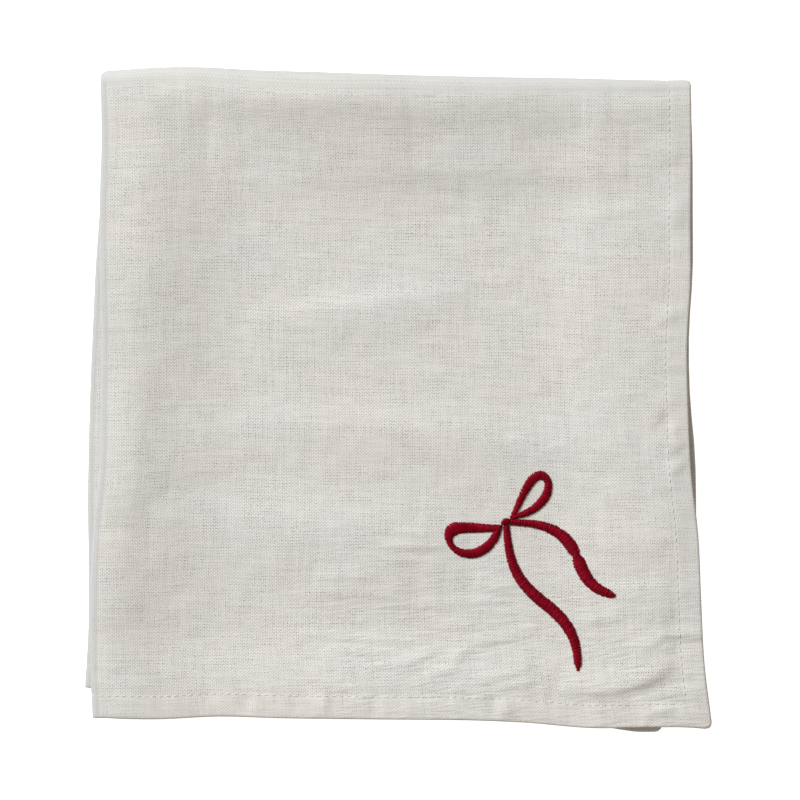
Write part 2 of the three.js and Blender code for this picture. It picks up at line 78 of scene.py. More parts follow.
# Left side, from the top (at 0) to the bottom (at 1). The lower pair of layers peeps out below the middle.
# ridge is how far in from the upper pair's fold the puff is highest, and puff a share of its full height.
TENTHS = [k / 10 for k in range(11)]
LEFT_SIDE = {
    "at": TENTHS,
    "upper_x": (-104.0, -103.8, -104.5, -104.4, -103.9, -104.2, -104.6, -106.7, -107.7, -107.7, -106.9),
    "lower_x": (-104.0, -103.7, -104.5, -106.0, -107.0, -107.9, -108.5, -108.8, -108.5, -108.6, -109.8),
    "ridge": (11, 11, 10.5, 9, 7, 5.5, 5, 4.5, 4, 4, 4),
    "puff": (0.6, 1.0, 1.05, 1.1, 0.95, 0.85, 1.0, 1.03, 0.97, 0.85, 0.65),
}

# Right side: the hem of each layer. Layers 1 and 4 are one cloth over the top fold, and so are 2 and 3.
RIGHT_SIDE = {
    "at": TENTHS,
    "layer1": (102.2, 102.4, 102.2, 102.2, 101.0, 101.4, 102.4, 104.8, 105.8, 107.0, 109.8),
    "layer2": (100.4, 100.2, 99.8, 99.2, 98.0, 97.0, 96.0, 95.2, 94.2, 93.0, 92.2),
    "layer3": (100.4, 100.0, 99.6, 99.4, 99.0, 98.8, 98.8, 98.6, 98.4, 98.2, 98.0),
    "layer4": (102.2, 103.0, 103.1, 103.1, 101.8, 102.1, 103.9, 104.3, 103.9, 103.5, 103.0),
}

# Top fold, from the left (at 0) to the right (at 1)
TOP_SIDE = {
    "at": (0.0, 0.08, 0.16, 0.25, 0.35, 0.5, 0.65, 0.8, 0.9, 0.96, 1.0),
    "y": (115.3, 116.4, 116.5, 115.5, 114.9, 113.9, 113.2, 112.7, 112.2, 112.0, 112.1),
    "puff": (0.4, 0.6, 1.0, 1.2, 1.25, 1.15, 1.0, 0.75, 0.4, 0.15, 0.1),
}

# Bottom: the hem of each layer. Layers 1 and 2 meet at the side fold, and so do 3 and 4.
BOTTOM_SIDE = {
    "at": (0.0, 0.1, 0.2, 0.3, 0.45, 0.6, 0.7, 0.8, 0.9, 0.95, 1.0),
    "layer1": (-111.0, -111.4, -110.5, -111.1, -111.5, -111.8, -112.7, -114.5, -114.3, -114.3, -115.0),
    "layer2": (-111.0, -110.6, -109.6, -109.9, -110.4, -110.7, -111.6, -112.8, -114.4, -115.9, -116.0),
    "layer3": (-100.6, -101.0, -101.4, -101.8, -102.3, -102.8, -103.2, -103.5, -103.8, -103.9, -104.0),
    "layer4": (-100.6, -100.9, -101.3, -101.8, -102.6, -103.2, -103.6, -104.0, -104.3, -104.4, -104.5),
}

# Puffs that hold the folds open: extra room between the layers at the fold's ridge
UPPER_SIDE_PUFF = 2.1
LOWER_SIDE_PUFF = 1.6
SIDE_PUFF_BEFORE = 6
SIDE_PUFF_AFTER = 26
TOP_PUFF = 3.2
TOP_RIDGE_INSET = 1
TOP_PUFF_BEFORE = 8
TOP_PUFF_AFTER = 14

# The layers are thicker together where their hems lie, from these lines outwards
HEMS_FROM_X = 83
HEMS_FROM_Y = -104
HEMS_RAMP_X = 34
HEMS_RAMP_Y = 26

# The upper pair hangs down a little past the lower pair, and layer 1 past all the others
OVERHANG_FROM_Y = -105.5
OVERHANG_FROM_X = 104.5
OVERHANG_REACH = 10
OVERHANG_DROP = 0.2

# Soft ridges (height above 0) and troughs (below 0) of the top layer, from x1, y1 to x2, y2. bow is how far
# the middle swings to the left of that line, and left and right are the reach to each side of it. The columns
# are x1, y1, x2, y2, bow, left, right and height.
BROAD_RIDGES = (
    (-78, 111, 74, 108, 0, 16, 34, 1.3),
    (-68, 88.5, 80, 84.5, 0, 18, 9, 1.5),
    (-56, 28, 24, 39, 1, 4.5, 12, 0.8),
    (-78, -9, 84, -17, 3, 8, 12, 0.8),
    (-88, -42, 24, -48, 1, 10, 17, 1.1),
    (-30, -60.5, 4, -65.5, 0, 10, 5, 0.45),
    (-84, -107, 78, -108, 0, 22, 12, 0.9),
    (-97, -44, -94, 16, 1, 14, 8, 0.5),
    (-107, -94, -105, -44, 0, 14, 12, 0.7),
    (84, -70, 86, 74, -1, 15, 14, 0.26),
    (66, -10, 66, 90, 0, 14, 12, 0.45),
    (94, -78, 93, -6, 0, 10, 8, 0.5),
    (56, -99.5, 98, -89, -6, 9, 4, 0.3),
)

# Creases and dimples, in the same columns
CREASES = (
    # Creases along the top fold, towards the left and at its right end
    (-66, 112, 2, 111, 0, 10, 9, 0.6),
    (-66, 97, 4, 95, 0, 10, 8, 0.65),
    (-66, 79, 4, 79, 0, 5, 12, 0.35),
    (64, 105, 108, 105, 0, 5, 24, 0.8),
    # The sharp edge of the curve in the bottom right corner, and shallow creases below it
    (56.5, -98.8, 96, -90.2, -6.2, 6, 1.6, 0.6),
    (80, -99.8, 95.5, -91.2, -2, 3, 1.9, 0.3),
    (85, -110.2, 97, -107.4, -0.5, 3.0, 1.2, 0.5),
    (88, -103.2, 99, -102.2, 0, 2.0, 1.2, 0.24),
    (76, -105.6, 92, -105.2, -0.3, 2.0, 1.2, 0.14),
    (91, -93, 90, -68, 0, 8, 3.4, 0.38),
    # The lit edges of the bottom right corner
    (60, -114, 104, -113.5, 0, 10, 3, 0.6),
    (111, -115, 106.5, -84, 0, 10, 3, 0.6),
    # A dark hollow and a light ridge to the right of the bow's tail
    (68, -49.5, 93, -51.5, 0, 5, 3.6, 0.4),
    (72, -66.4, 95, -64.6, 0, 2.6, 8, 0.4),
    # Cross creases, dimples and puckers of the right hem
    (91, -81.3, 108, -81.9, 0, 3.0, 1.2, 0.5),
    (82, -87.5, 95, -80.5, -0.6, 3.0, 1.4, 0.25),
    (92, -74.2, 96.5, -74.6, 0, 2.5, 1.6, 0.16),
    (92, -86, 96.5, -86.5, 0, 2.0, 1.4, 0.3),
    (95, -9.2, 99.5, -6.4, 0, 3.0, 1.3, 0.3),
    (93.5, -17.4, 100, -12.8, 0, 3.0, 1.5, 0.45),
    (94, -25, 100.5, -19.6, 0, 3.0, 1.5, 0.42),
    (86.5, -8, 92.5, -2.4, 0, 4.0, 1.9, 0.36),
    (89, 28.6, 101.5, 33.2, 0, 3.5, 1.4, 0.28),
    (93.5, 64.5, 101.5, 71.5, 0, 6.0, 3.6, 0.42),
    (91.5, 85, 98.5, 91.5, 0, 6.0, 3.0, 0.3),
    # Fine wrinkles to the right of the middle
    (60, 65, 88, 68.8, 1, 3.0, 1.5, 0.22),
    (50, 53.2, 84, 53.6, 0, 2.5, 1.4, 0.1),
    (58.5, 15.0, 67, 18.4, 0, 1.8, 1.3, 0.2),
    (69, 1.6, 86, 4.2, 0, 2.0, 1.3, 0.18),
    (60, -1.4, 66.5, 1.6, 0, 1.8, 1.3, 0.22),
    (66, 22, 84, 12, -1, 3.5, 2.2, -0.18),
    # Wrinkles drawn in by the bow
    (-4, -44.5, 14, -46.8, 0, 1.6, 1.2, 0.22),
    (-7, -50, 17, -50.8, 0, 1.8, 1.1, 0.4),
    (-6, -54.6, 8, -54.8, 0, 1.6, 1.2, 0.16),
    (26, -63.5, 41, -66, 0, 3.0, 1.6, 0.35),
    # Wrinkles below the bow, nearly level at the left and slanted towards the right
    (-30, -61.5, -8, -60.5, 0, 2.0, 1.6, 0.22),
    (-34, -66.4, -10, -68.2, 0, 2.4, 1.4, 0.25),
    (-14, -67.6, 2, -68.4, 0, 2.0, 1.3, 0.22),
    (-18, -71.8, 37, -70.2, 0, 2.5, 1.2, 0.2),
    (-35, -81.6, 12, -84.8, 0, 2.4, 1.1, 0.24),
    (-34, -87.2, 4, -88, 0, 2.4, 1.1, 0.2),
    (-13, -93.4, 14.5, -86.4, -1.8, 2.4, 1.1, 0.36),
    (-8, -96, 8, -91.6, -0.6, 1.8, 1.1, 0.22),
    (17.5, -92, 25, -85.6, 0, 2.4, 1.3, 0.34),
    (23.5, -86.2, 48, -81.2, 0.6, 2.4, 1.2, 0.32),
    (8, -96.2, 20.5, -93.2, 0, 2.0, 1.1, 0.36),
    (14, -78.8, 27, -79.4, 0, 2.0, 1.1, 0.25),
    (-34, -101.6, 12, -98.3, 0, 2.4, 1.1, 0.1),
    (26, -98, 46, -93.6, 0, 2.4, 1.1, 0.35),
    (32, -101, 47, -98.2, 0, 2.0, 1.1, 0.28),
    (60, -80, 80, -75, 1, 2.4, 1.3, 0.2),
    # Puckers of the bottom hem
    (-53, -101, -55, -110, 0, 1.8, 2.4, -0.3),
    (-38, -103, -37, -110, 0, 1.8, 2.2, -0.28),
    (-27, -102, -28, -110, 0, 1.6, 2.0, 0.25),
    (-10, -103, -9, -111, 0, 1.8, 2.2, -0.28),
    (26, -109, 32, -106, 1, 2.2, 2.2, -0.25),
    (32, -103, 33, -111, 0, 1.6, 2.0, -0.28),
    (37, -104, 37, -111, 0, 2.4, 2.4, 0.3),
    # Short creases by the left side
    (-85, -31, -79, -31, 1, 1.8, 1.8, -0.2),
    (-94, -35, -88, -36, 0, 1.6, 1.6, -0.15),
    (-52, 86, -38, 86, 0, 1.4, 1.4, -0.12),
    (0, 66, 40, 68, 0, 1.4, 1.4, -0.12),
)
CREASE_STEPS = 10
CREASE_TAPER = 0.6

# Shallow random creases all over the top layer, nearly level or upright. Their depth grows from QUIET_SHARE,
# where x - y is at the first value of BUSY, to full where it is at the second, towards the bottom right.
SMALL_CREASE_COUNT = 170
SMALL_CREASE_SEED = 11
SMALL_CREASE_HEIGHT = 0.17
SMALL_CREASE_X = (-80, 96)
SMALL_CREASE_Y = (-106, 100)
SMALL_CREASE_LENGTHS = (5, 24)
SMALL_CREASE_REACHES = (1.3, 2.6)
SMALL_CREASE_SLANT = 0.2
SMALL_CREASE_BOW = 0.07
UPRIGHT_SHARE = 0.18
BUSY = (-60, 150)
QUIET_SHARE = 0.3

# Long and short waves, drawn out along X, as in washed linen: height, count, range of lengths, seed
WAVE_SQUEEZE = 1.6
WAVES = ((0.025, 36, (9, 34), 5), (0.017, 60, (4, 9), 17))

# Puckers that the hem's stitching draws into the cloth
PUCKER_HEIGHT = 0.055
PUCKER_REACH = 4.5
PUCKER_SEED = 23
PUCKER_WAVES = 26
PUCKER_LENGTHS = (3.5, 11)

# Grid lines over the cloth. A pair is the size of the cells next to the fold and next to the hem. The first
# lines are counted from the end of the fold's arc, and the lines of the hem from the cloth's edge.
ARC_CELLS = 8
CELLS_ACROSS = (1.3, 1.0)
CELLS_DOWN = (1.5, 0.8)
BACK_CELLS = (4.6, 4.6)
FIRST_CELLS = (0.6, 1.4, 2.5)
HEM_LINES = (0, 0.12, 0.4, 0.8, 1.4, 2.6, 3.9, 5.2, 6.4, 7.2, 7.6, 8.0, 8.5, 9.0, 9.6)

# Hem stitching. PROBE is the small step over the cloth from which its directions are measured.
STITCH_INSET = 8.1
STITCH_PITCH = 2.6
STITCH_LENGTH = 1.8
STITCH_RADIUS = 0.11
STITCH_GROOVE = 0.035
STITCH_GROOVE_REACH = 1.2
STITCH_ARCH = 0.5
STITCH_SHAPE = (0.5, 0.95, 1, 1, 0.95, 0.5)
THREAD_SIDES = 6
PROBE = 0.05

# The embroidered bow. Its knot is a squashed circle with blunt ends.
KNOT_X = 37.6
KNOT_Y = -42.5
KNOT_RADIUS = 1.6
KNOT_SQUASH = 0.85
KNOT_BLUNTNESS = 0.3
KNOT_TURN = 20
KNOT_POINTS = 60
KNOT_CLEARANCE = 1.4

# Satin stitches. Each is a low dome whose thread swells from its ends, which are sunk into the cloth, and a
# stitch that is shorter than the second value of SATIN_RISE is less high. Spreads are shares of the whole.
SATIN_HEIGHT = 0.75
SATIN_RADIUS = 0.2
SATIN_PITCH = 0.26
SATIN_SEED = 41
SATIN_STEPS = 8
SATIN_JITTER = 0.1
SATIN_SINK = 0.18
SATIN_DOME = 0.55
SATIN_RISE = (0.2, 2.6)
SATIN_END = 0.45
SATIN_SWELL = 2.6
SATIN_HEIGHT_SPREAD = 0.035
SATIN_RADIUS_SPREAD = 0.07
SATIN_TONE = (0.48, 0.2)

# Loops, as teardrops that point at the knot and turn by bend over their length. The eye is their opening,
# and lean moves it sideways towards the loop's end. TEARDROP_PEAK makes a width come out true.
TEARDROP_PEAK = 1.54
LOOP_POINTS = 721
LOOPS = (
    {"name": "bow_loop_left", "turn": 224, "bend": -28, "length": 22.2, "width": 14.2,
     "eye_start": 5.6, "eye_length": 14.2, "eye_width": 5.8, "lean": 0.7},
    {"name": "bow_loop_top", "turn": 34, "bend": 16, "length": 22.2, "width": 10.8,
     "eye_start": 4.8, "eye_length": 14.6, "eye_width": 4.0, "lean": 0},
)

# Tails, as bands that leave the knot at the angle start, turn by bend over their length and swing between.
# late above 1 puts the middle of the swing further from the knot. At twist the band narrows as it turns over,
# and in the last share of its length, the tip, to TAIL_TIP_WIDTH of its width.
TAILS = (
    {"name": "bow_tail_right", "start": -3, "bend": -14, "swing": -56, "late": 1.42,
     "length": 48.5, "narrow": 2.4, "wide": 4.8, "twist": 0.57},
    {"name": "bow_tail_bottom", "start": -85, "bend": -4, "swing": 48, "late": 1.12,
     "length": 59, "narrow": 2.4, "wide": 4.4, "twist": None},
)
TAIL_POINTS = 401
TAIL_TIP = 0.05
TAIL_TIP_WIDTH = 0.5
TWIST_REACH = 0.03
TWIST_NARROWING = 0.4

# The weave: its yarns this far apart, in metres along the cloth's own width and length
GRAIN_MAP = "grain"
WARP_PITCH = 0.631 * MM
WEFT_PITCH = 0.546 * MM
YARN_RELIEF = 0.042 * MM
YARN_DRIFT = 1.8
YARN_ROUNDNESS = 0.45
YARN_LIFT = 0.45
YARN_CONTRAST = 0.055
WARP_TONE_SHARE = 0.75
WEFT_TONE_SHARE = 1.25
TONE_RANGE = (1.05, 1.95)
# Painted shade in the pinholes, as the share of colour taken away there
PINHOLE_PAINTED_SHADE = 0.85
# Painted light and shade on the yarns on top: darker where one set lies on top, lighter where the other does
FLOAT_PAINTED_LIGHT_AND_SHADE = 0.185

# Gaps, counted in yarns. Noise in the range GAP_NOISE gives a gap a reach in the range GAP_REACH, or inside a
# pair of yarns the PAIRING share of it. Its side slopes over the range GAP_EDGE of that reach.
GAP_NOISE = (0.3, 0.72)
GAP_REACH = (0.1, 0.3)
GAP_EDGE = (0.6, 1.3)
WARP_PAIRING = 0.78
WEFT_PAIRING = 0.42
PATCH_SPREAD = 0.35

# Noise in the range of the first two values makes holes, or the painted light and shade of yarns on top, vary
# over the last two
UNEVEN_HOLES = (0.3, 0.65, 0.1, 1.0)
UNEVEN_FLOATS = (0.3, 0.7, 0.5, 1.4)

# Noise patterns: the scale of each coordinate, a seed, and the fine detail. Coordinates are metres over the
# cloth, or the number of a yarn or gap and metres along it, or for uneven two such numbers.
PATTERNS = {
    "warp_drift": (30, 22, 0, 1),
    "weft_drift": (22, 30, 7, 1),
    "patches": (75, 130, 3, 1),
    "warp_gaps": (3.7, 60, 1, 1),
    "weft_gaps": (3.7, 60, 2, 1),
    "uneven": (0.83, 0.83, 4, 2),
    "warp_tone": (2.3, 60, 5, 2),
    "weft_tone": (2.3, 45, 6, 2),
    "slubs": (150, 700, 11, 2),
    "clouds": (26, 34, 8, 3),
    "blotches": (120, 320, 9, 2),
    "wrinkles": (75, 420, 15, 1),
    "hem_thread": (400, 400, 0, 1),
    "satin_fibres": (5000, 5000, 0, 1),
}

# Fine wrinkles of the front layer, which come in towards its bottom right corner
WRINKLE_HEIGHT = 0.36 * MM
WRINKLE_SLANT = 0.12
WRINKLES_FROM_U = (40 * MM, 100 * MM)
WRINKLES_FROM_V = (140 * MM, 205 * MM)

# Colours of the cloth, the painted light on its near hem and painted shade on its side hem, and how they
# change in the hems
LINEN_WARM = (0.58, 0.561, 0.522, 1)
LINEN_COOL = (0.57, 0.5655, 0.534, 1)
CLOUD_SHARE = 0.6
WARM_RANGE = (0.38, 0.62)
# Painted light lightens the near hem, and painted shade darkens the side hem
NEAR_HEM_PAINTED_LIGHT = 1.035
SIDE_HEM_PAINTED_SHADE = 0.98
HEM_OPENNESS = 0.7
HEM_BLEND = 0.4 * MM

# At the folds, painted shade darkens the cloth's colour towards their edges, and the yarns are pressed
# together: the range away from a fold's edge, counted in arcs over which the cloth turns, and the share of
# painted shade, or of openness, at the edge
LINEN_PAINTED_SHADE_AT_FOLD = (0.375, 0.372, 0.361, 1)
PAINTED_SHADE_AT_SIDE = (0.5, 1.6, 1.0)
PAINTED_SHADE_AT_TOP = (0.4, 1.6, 0.55)
OPEN_AT_FOLD = (0.7, 1.9, 0.35)

# Threads: dark and light colours, and the hem thread's twist
HEM_THREAD_DARK = (0.565, 0.55, 0.515, 1)
HEM_THREAD_LIGHT = (0.61, 0.595, 0.56, 1)
HEM_TWIST_LENGTH = 0.5 * MM
HEM_TWIST_HEIGHT = 0.015 * MM
SATIN_DARK = (0.07, 0.0008, 0.004, 1)
SATIN_LIGHT = (0.225, 0.0025, 0.011, 1)
SATIN_FIBRE_HEIGHT = 0.02 * MM

# The stage: white paper, soft light from the upper left, and a little warmer fill from all round. The key's
# azimuth is counted from +X towards +Y.
PAPER_REACH = 3.0
PAPER_COLOUR = (0.93, 0.93, 0.93, 1)
PAPER_GLOW = 0.8
KEY = {"azimuth": 141, "elevation": 29, "distance": 5, "size": 1.8, "power": 423}
KEY_COLOUR = (0.954, 1.003, 1.038)
FILL_COLOUR = (1.107, 0.989, 0.911, 1)
FILL_STRENGTH = 0.411

# The camera looks straight down through a long lens on a field of 800 pixels, 0.35 mm each
FIELD = 800 * 0.35 * MM
LENS = 250
SENSOR = 36
CAMERA_X = 0.7 * MM
CAMERA_Y = -0.2 * MM
FOCUS_HEIGHT = 2.5 * MM


def read_table(table, column, place):
    """Smooth values of one column, between the rows of a table."""
    keys = np.array(table["at"], float)
    values = np.array(table[column], float)
    rows = np.arange(len(keys))
    before = np.maximum(rows - 1, 0)
    after = np.minimum(rows + 1, len(keys) - 1)
    slopes = (values[after] - values[before]) / (keys[after] - keys[before])
    t = np.clip(place, 0, 1)
    i = np.clip(np.searchsorted(keys, t, side="right") - 1, 0, len(keys) - 2)
    span = keys[i + 1] - keys[i]
    s = (t - keys[i]) / span
    s2 = s * s
    s3 = s2 * s
    return (
        (2 * s3 - 3 * s2 + 1) * values[i]
        + (s3 - 2 * s2 + s) * span * slopes[i]
        + (3 * s2 - 2 * s3) * values[i + 1]
        + (s3 - s2) * span * slopes[i + 1]
    )


def ramp(value, start, end):
    """0 below start, 1 above end, with a smooth ramp between."""
    t = np.clip((value - start) / (end - start), 0, 1)
    return t * t * (3 - 2 * t)


def lerp(a, b, share):
    return a + (b - a) * share


def bell(distance, reach):
    """A bell shape about 0."""
    return np.exp(-((distance / reach) ** 2))


def lopsided_bell(distance, before, after):
    """A bell shape with its own reach on each side of 0."""
    return bell(distance, np.where(distance < 0, before, after))


def crease_height(x, y, crease):
    """One ridge or crease: a bell across a bowed line, which fades towards its ends."""
    x1, y1, x2, y2, bow, left, right, height = crease
    steps = CREASE_STEPS if bow else 1
    share = np.linspace(0, 1, steps + 1)
    swing = 4 * bow * share * (1 - share) / math.hypot(x2 - x1, y2 - y1)
    line_x = lerp(x1, x2, share) - swing * (y2 - y1)
    line_y = lerp(y1, y2, share) + swing * (x2 - x1)
    nearest = np.full(x.shape, np.inf)
    place = np.zeros(x.shape)
    on_left = np.zeros(x.shape, bool)
    for k in range(steps):
        dx, dy = line_x[k + 1] - line_x[k], line_y[k + 1] - line_y[k]
        from_x, from_y = x - line_x[k], y - line_y[k]
        s = np.clip((from_x * dx + from_y * dy) / (dx * dx + dy * dy), 0, 1)
        away = np.hypot(from_x - s * dx, from_y - s * dy)
        closer = away < nearest
        place = np.where(closer, (k + s) / steps, place)
        on_left = np.where(closer, dx * from_y > dy * from_x, on_left)
        nearest = np.where(closer, away, nearest)
    reach = np.where(on_left, left, right)
    return height * np.sin(math.pi * place) ** CREASE_TAPER * bell(nearest, reach)


def random_creases():
    """Short shallow creases all over the top layer, deeper towards the bottom right."""
    random = np.random.default_rng(SMALL_CREASE_SEED)
    creases = []
    for _ in range(SMALL_CREASE_COUNT):
        x = random.uniform(*SMALL_CREASE_X)
        y = random.uniform(*SMALL_CREASE_Y)
        busy = lerp(QUIET_SHARE, 1, ramp(x - y, *BUSY))
        angle = random.normal(0, SMALL_CREASE_SLANT)
        if random.random() < UPRIGHT_SHARE:
            angle += math.pi / 2
        length = random.uniform(*SMALL_CREASE_LENGTHS)
        dx, dy = math.cos(angle) * length / 2, math.sin(angle) * length / 2
        bow = random.normal(0, SMALL_CREASE_BOW) * length
        reach = random.uniform(*SMALL_CREASE_REACHES)
        height = random.uniform(-1, 1) * SMALL_CREASE_HEIGHT * busy
        creases.append((x - dx, y - dy, x + dx, y + dy, bow, reach, reach, height))
    return creases


def waves(x, y, count, lengths, seed, squeeze=1.0):
    """A random sum of waves, about 1 high. squeeze above 1 draws them out along X."""
    random = np.random.default_rng(seed)
    total = np.zeros(np.shape(x))
    for _ in range(count):
        angle = random.uniform(0, 2 * math.pi)
        number = 2 * math.pi / random.uniform(*lengths)
        phase = random.uniform(0, 2 * math.pi)
        total += np.sin(number * (x * math.cos(angle) / squeeze + y * math.sin(angle)) + phase)
    return total / math.sqrt(count / 2)


ALL_CREASES = (*BROAD_RIDGES, *CREASES, *random_creases())


def relief(x, y):
    """Everything that lifts or sinks the top layer besides the puffs of its folds."""
    total = np.zeros(np.shape(x))
    for crease in ALL_CREASES:
        total += crease_height(x, y, crease)
    for height, count, lengths, seed in WAVES:
        total += height * waves(x, y, count, lengths, seed, WAVE_SQUEEZE)
    return total


def puckers(p, q):
    """Small waves along the hems of the front half's near quarter, strongest at the stitching."""
    along_side = waves(q, 0 * q, PUCKER_WAVES, PUCKER_LENGTHS, PUCKER_SEED)
    along_end = waves(p, 0 * p, PUCKER_WAVES, PUCKER_LENGTHS, PUCKER_SEED + 1)
    side = bell(FRONT_WIDTH - p - STITCH_INSET, PUCKER_REACH)
    end = bell(NEAR_LENGTH - q - STITCH_INSET, PUCKER_REACH)
    return PUCKER_HEIGHT * (side * along_side + end * along_end)


def layer_heights(x, y):
    """Heights of the middle of layers 1, 2 and 3 above the surface, where the layers lie level."""
    down = (PLAN_TOP - y) / (PLAN_TOP - PLAN_BOTTOM)
    left = LEFT_SIDE["upper_x"][0]
    across = (x - left) / (RIGHT_SIDE["layer1"][0] - left)
    from_side = x - read_table(LEFT_SIDE, "upper_x", down)
    from_top = read_table(TOP_SIDE, "y", across) - y
    ridge = read_table(LEFT_SIDE, "ridge", down)
    side_puff = lopsided_bell(from_side - ridge, SIDE_PUFF_BEFORE * ridge, SIDE_PUFF_AFTER)
    side_puff = side_puff * read_table(LEFT_SIDE, "puff", down)
    top_puff = lopsided_bell(from_top - TOP_RIDGE_INSET, TOP_PUFF_BEFORE, TOP_PUFF_AFTER)
    top_puff = top_puff * read_table(TOP_SIDE, "puff", across)
    hems = np.maximum(
        ramp(x, HEMS_FROM_X - HEMS_RAMP_X, HEMS_FROM_X),
        ramp(-y, -HEMS_FROM_Y - HEMS_RAMP_Y, -HEMS_FROM_Y),
    )
    pitch = lerp(LAYER_PITCH, HEM_PITCH, hems)
    below = ramp(-y, -OVERHANG_FROM_Y, -OVERHANG_FROM_Y + OVERHANG_REACH)
    beside = ramp(x, OVERHANG_FROM_X, OVERHANG_FROM_X + OVERHANG_REACH)
    layer3 = pitch + HEM_LIFT * hems + LOWER_SIDE_PUFF * side_puff
    layer2 = layer3 + pitch + TOP_PUFF * top_puff - OVERHANG_DROP * below
    layer1 = layer2 + pitch + UPPER_SIDE_PUFF * side_puff + relief(x, y) - OVERHANG_DROP * beside
    return layer1, layer2, layer3


def fold_angle(distance, arc):
    """How far the cloth has turned over at a fold: from -90 degrees, through the fold's edge at 0, to 90."""
    return np.clip(distance / arc, -1, 1) * math.pi / 2


def share_of_way(distance, arc, reach):
    """Share of the way from the end of a fold's arc to the hem."""
    return np.maximum(np.abs(distance) - arc, 0) / (reach - arc)


def hem_distances(p, q):
    """How far a place of the cloth is from its side hem and from its end hem."""
    return (
        np.where(p > 0, FRONT_WIDTH, BACK_WIDTH) - np.abs(p),
        np.where(q > 0, NEAR_LENGTH, FAR_LENGTH) - np.abs(q),
    )


def rounded(p, q):
    """The same place of the cloth, moved so that the cloth's square corners come out round."""
    to_side, to_end = hem_distances(p, q)
    inward_p = np.maximum(CORNER_ROUND - to_side, 0)
    inward_q = np.maximum(CORNER_ROUND - to_end, 0)
    diagonal = np.hypot(inward_p, inward_q)
    pull = 1 - np.maximum(inward_p, inward_q) / np.where(diagonal > 0, diagonal, 1)
    both = (inward_p > 0) & (inward_q > 0)
    return p - np.sign(p) * both * pull * inward_p, q - np.sign(q) * both * pull * inward_q


def corner_inset(from_corner):
    """How far an edge draws in towards the end of a fold, so that the folded corner is round."""
    near = np.clip(1 - from_corner / FOLD_CORNER_ROUND, 0, 1)
    return FOLD_CORNER_ROUND * (1 - np.sqrt(1 - near**2))


def thickness_at(p, q):
    """Thickness of the cloth, which is doubled over along its hems and has a round edge."""
    to_edge = np.minimum(*hem_distances(p, q))
    plain = ramp(to_edge, HEM_WIDTH - HEM_STEP, HEM_WIDTH)
    inward = np.clip(1 - to_edge / HEM_ROUND, 0, 0.99)
    return lerp(HEM_THICKNESS, CLOTH_THICKNESS, plain) * np.sqrt(1 - inward**2)


def groove_at(p, q):
    """How deep the stitching draws each face of the cloth in."""
    to_side, to_end = hem_distances(p, q)
    side = bell(to_side - STITCH_INSET, STITCH_GROOVE_REACH)
    end = bell(to_end - STITCH_INSET, STITCH_GROOVE_REACH)
    inside = np.minimum(to_side, to_end) > STITCH_INSET - 2 * STITCH_GROOVE_REACH
    return STITCH_GROOVE * np.maximum(side, end) * inside


def cloth_points(p, q):
    """The middle of the folded cloth. p runs from the back half's hem (negative), over the side fold, to the
    front half's hem. q runs from the far half's hem (negative), over the top fold, to the near half's hem."""
    thickness = thickness_at(p, q)
    p, q = rounded(p, q)
    front, near = p > 0, q > 0
    across = share_of_way(p, SIDE_ARC, np.where(front, FRONT_WIDTH, BACK_WIDTH))
    down = share_of_way(q, TOP_ARC, np.where(near, NEAR_LENGTH, FAR_LENGTH))
    left_x = np.where(
        near,
        read_table(LEFT_SIDE, "upper_x", down),
        read_table(LEFT_SIDE, "lower_x", down),
    )
    layers = (near & front, near & ~front, ~near & ~front, ~near & front)
    names = ("layer1", "layer2", "layer3", "layer4")
    right_x = sum(m * read_table(RIGHT_SIDE, n, down) for m, n in zip(layers, names))
    bottom_y = sum(m * read_table(BOTTOM_SIDE, n, across) for m, n in zip(layers, names))
    top_y = read_table(TOP_SIDE, "y", across)

    # Each pair of layers has a middle, and its layers lie half their spacing to each side of it
    layer1, layer2, layer3 = layer_heights(lerp(left_x, right_x, across), lerp(top_y, bottom_y, down))
    layer1 = layer1 + layers[0] * puckers(p, q)
    half = thickness / 2
    layer4 = half
    upper_middle = (layer1 + layer2) / 2
    lower_middle = (layer3 + layer4) / 2
    over_top = fold_angle(q, TOP_ARC)
    over_side = fold_angle(p, SIDE_ARC)
    turned = (1 + np.sin(over_top)) / 2
    side_radius = lerp(layer3 - layer4, layer1 - layer2, turned) / 2
    top_radius = (upper_middle - lower_middle) / 2

    # The side fold is a half circle between the layers of a pair, and the top fold one between the pairs
    pair_y = lerp(top_y - half - side_radius - top_radius, bottom_y, down)
    radius = top_radius + side_radius * np.sin(over_side)
    y = pair_y + radius * np.cos(over_top)
    inset = corner_inset(top_y - half - y)
    left_end = left_x + half + side_radius + inset
    x = lerp(left_end, right_x - inset, across) - side_radius * np.cos(over_side)
    z = (upper_middle + lower_middle) / 2 + radius * np.sin(over_top)
    return np.stack([x, y, z], axis=-1)


def half_lines(arc, reach, cells):
    """Grid lines from a fold's edge out to a hem, close together over the arc and at the hem."""
    over_arc = arc * np.arange(1, ARC_CELLS + 1) / ARC_CELLS
    first = arc + np.array(FIRST_CELLS)
    span = reach - HEM_LINES[-1] - first[-1]
    share = np.linspace(0, 1, int(round(2 * span / sum(cells))) + 1)[1:]
    at_fold = 2 * cells[0] / sum(cells)
    plain = first[-1] + span * (at_fold * share + (1 - at_fold) * share**2)
    hem = reach - np.array(HEM_LINES[:-1])[::-1]
    return np.concatenate([over_arc, first, plain, hem])


def grid_lines(arc, back_reach, front_reach, cells):
    """Grid lines over both halves of the cloth, from hem to hem."""
    back = half_lines(arc, back_reach, BACK_CELLS)
    front = half_lines(arc, front_reach, cells)
    return np.concatenate([-back[::-1], [0.0], front])


def unit(vectors):
    """The same directions, 1 long."""
    return vectors / np.linalg.norm(vectors, axis=-1, keepdims=True)


def new_object(name, data):
    made = bpy.data.objects.new(name, data)
    bpy.context.scene.collection.objects.link(made)
    return made


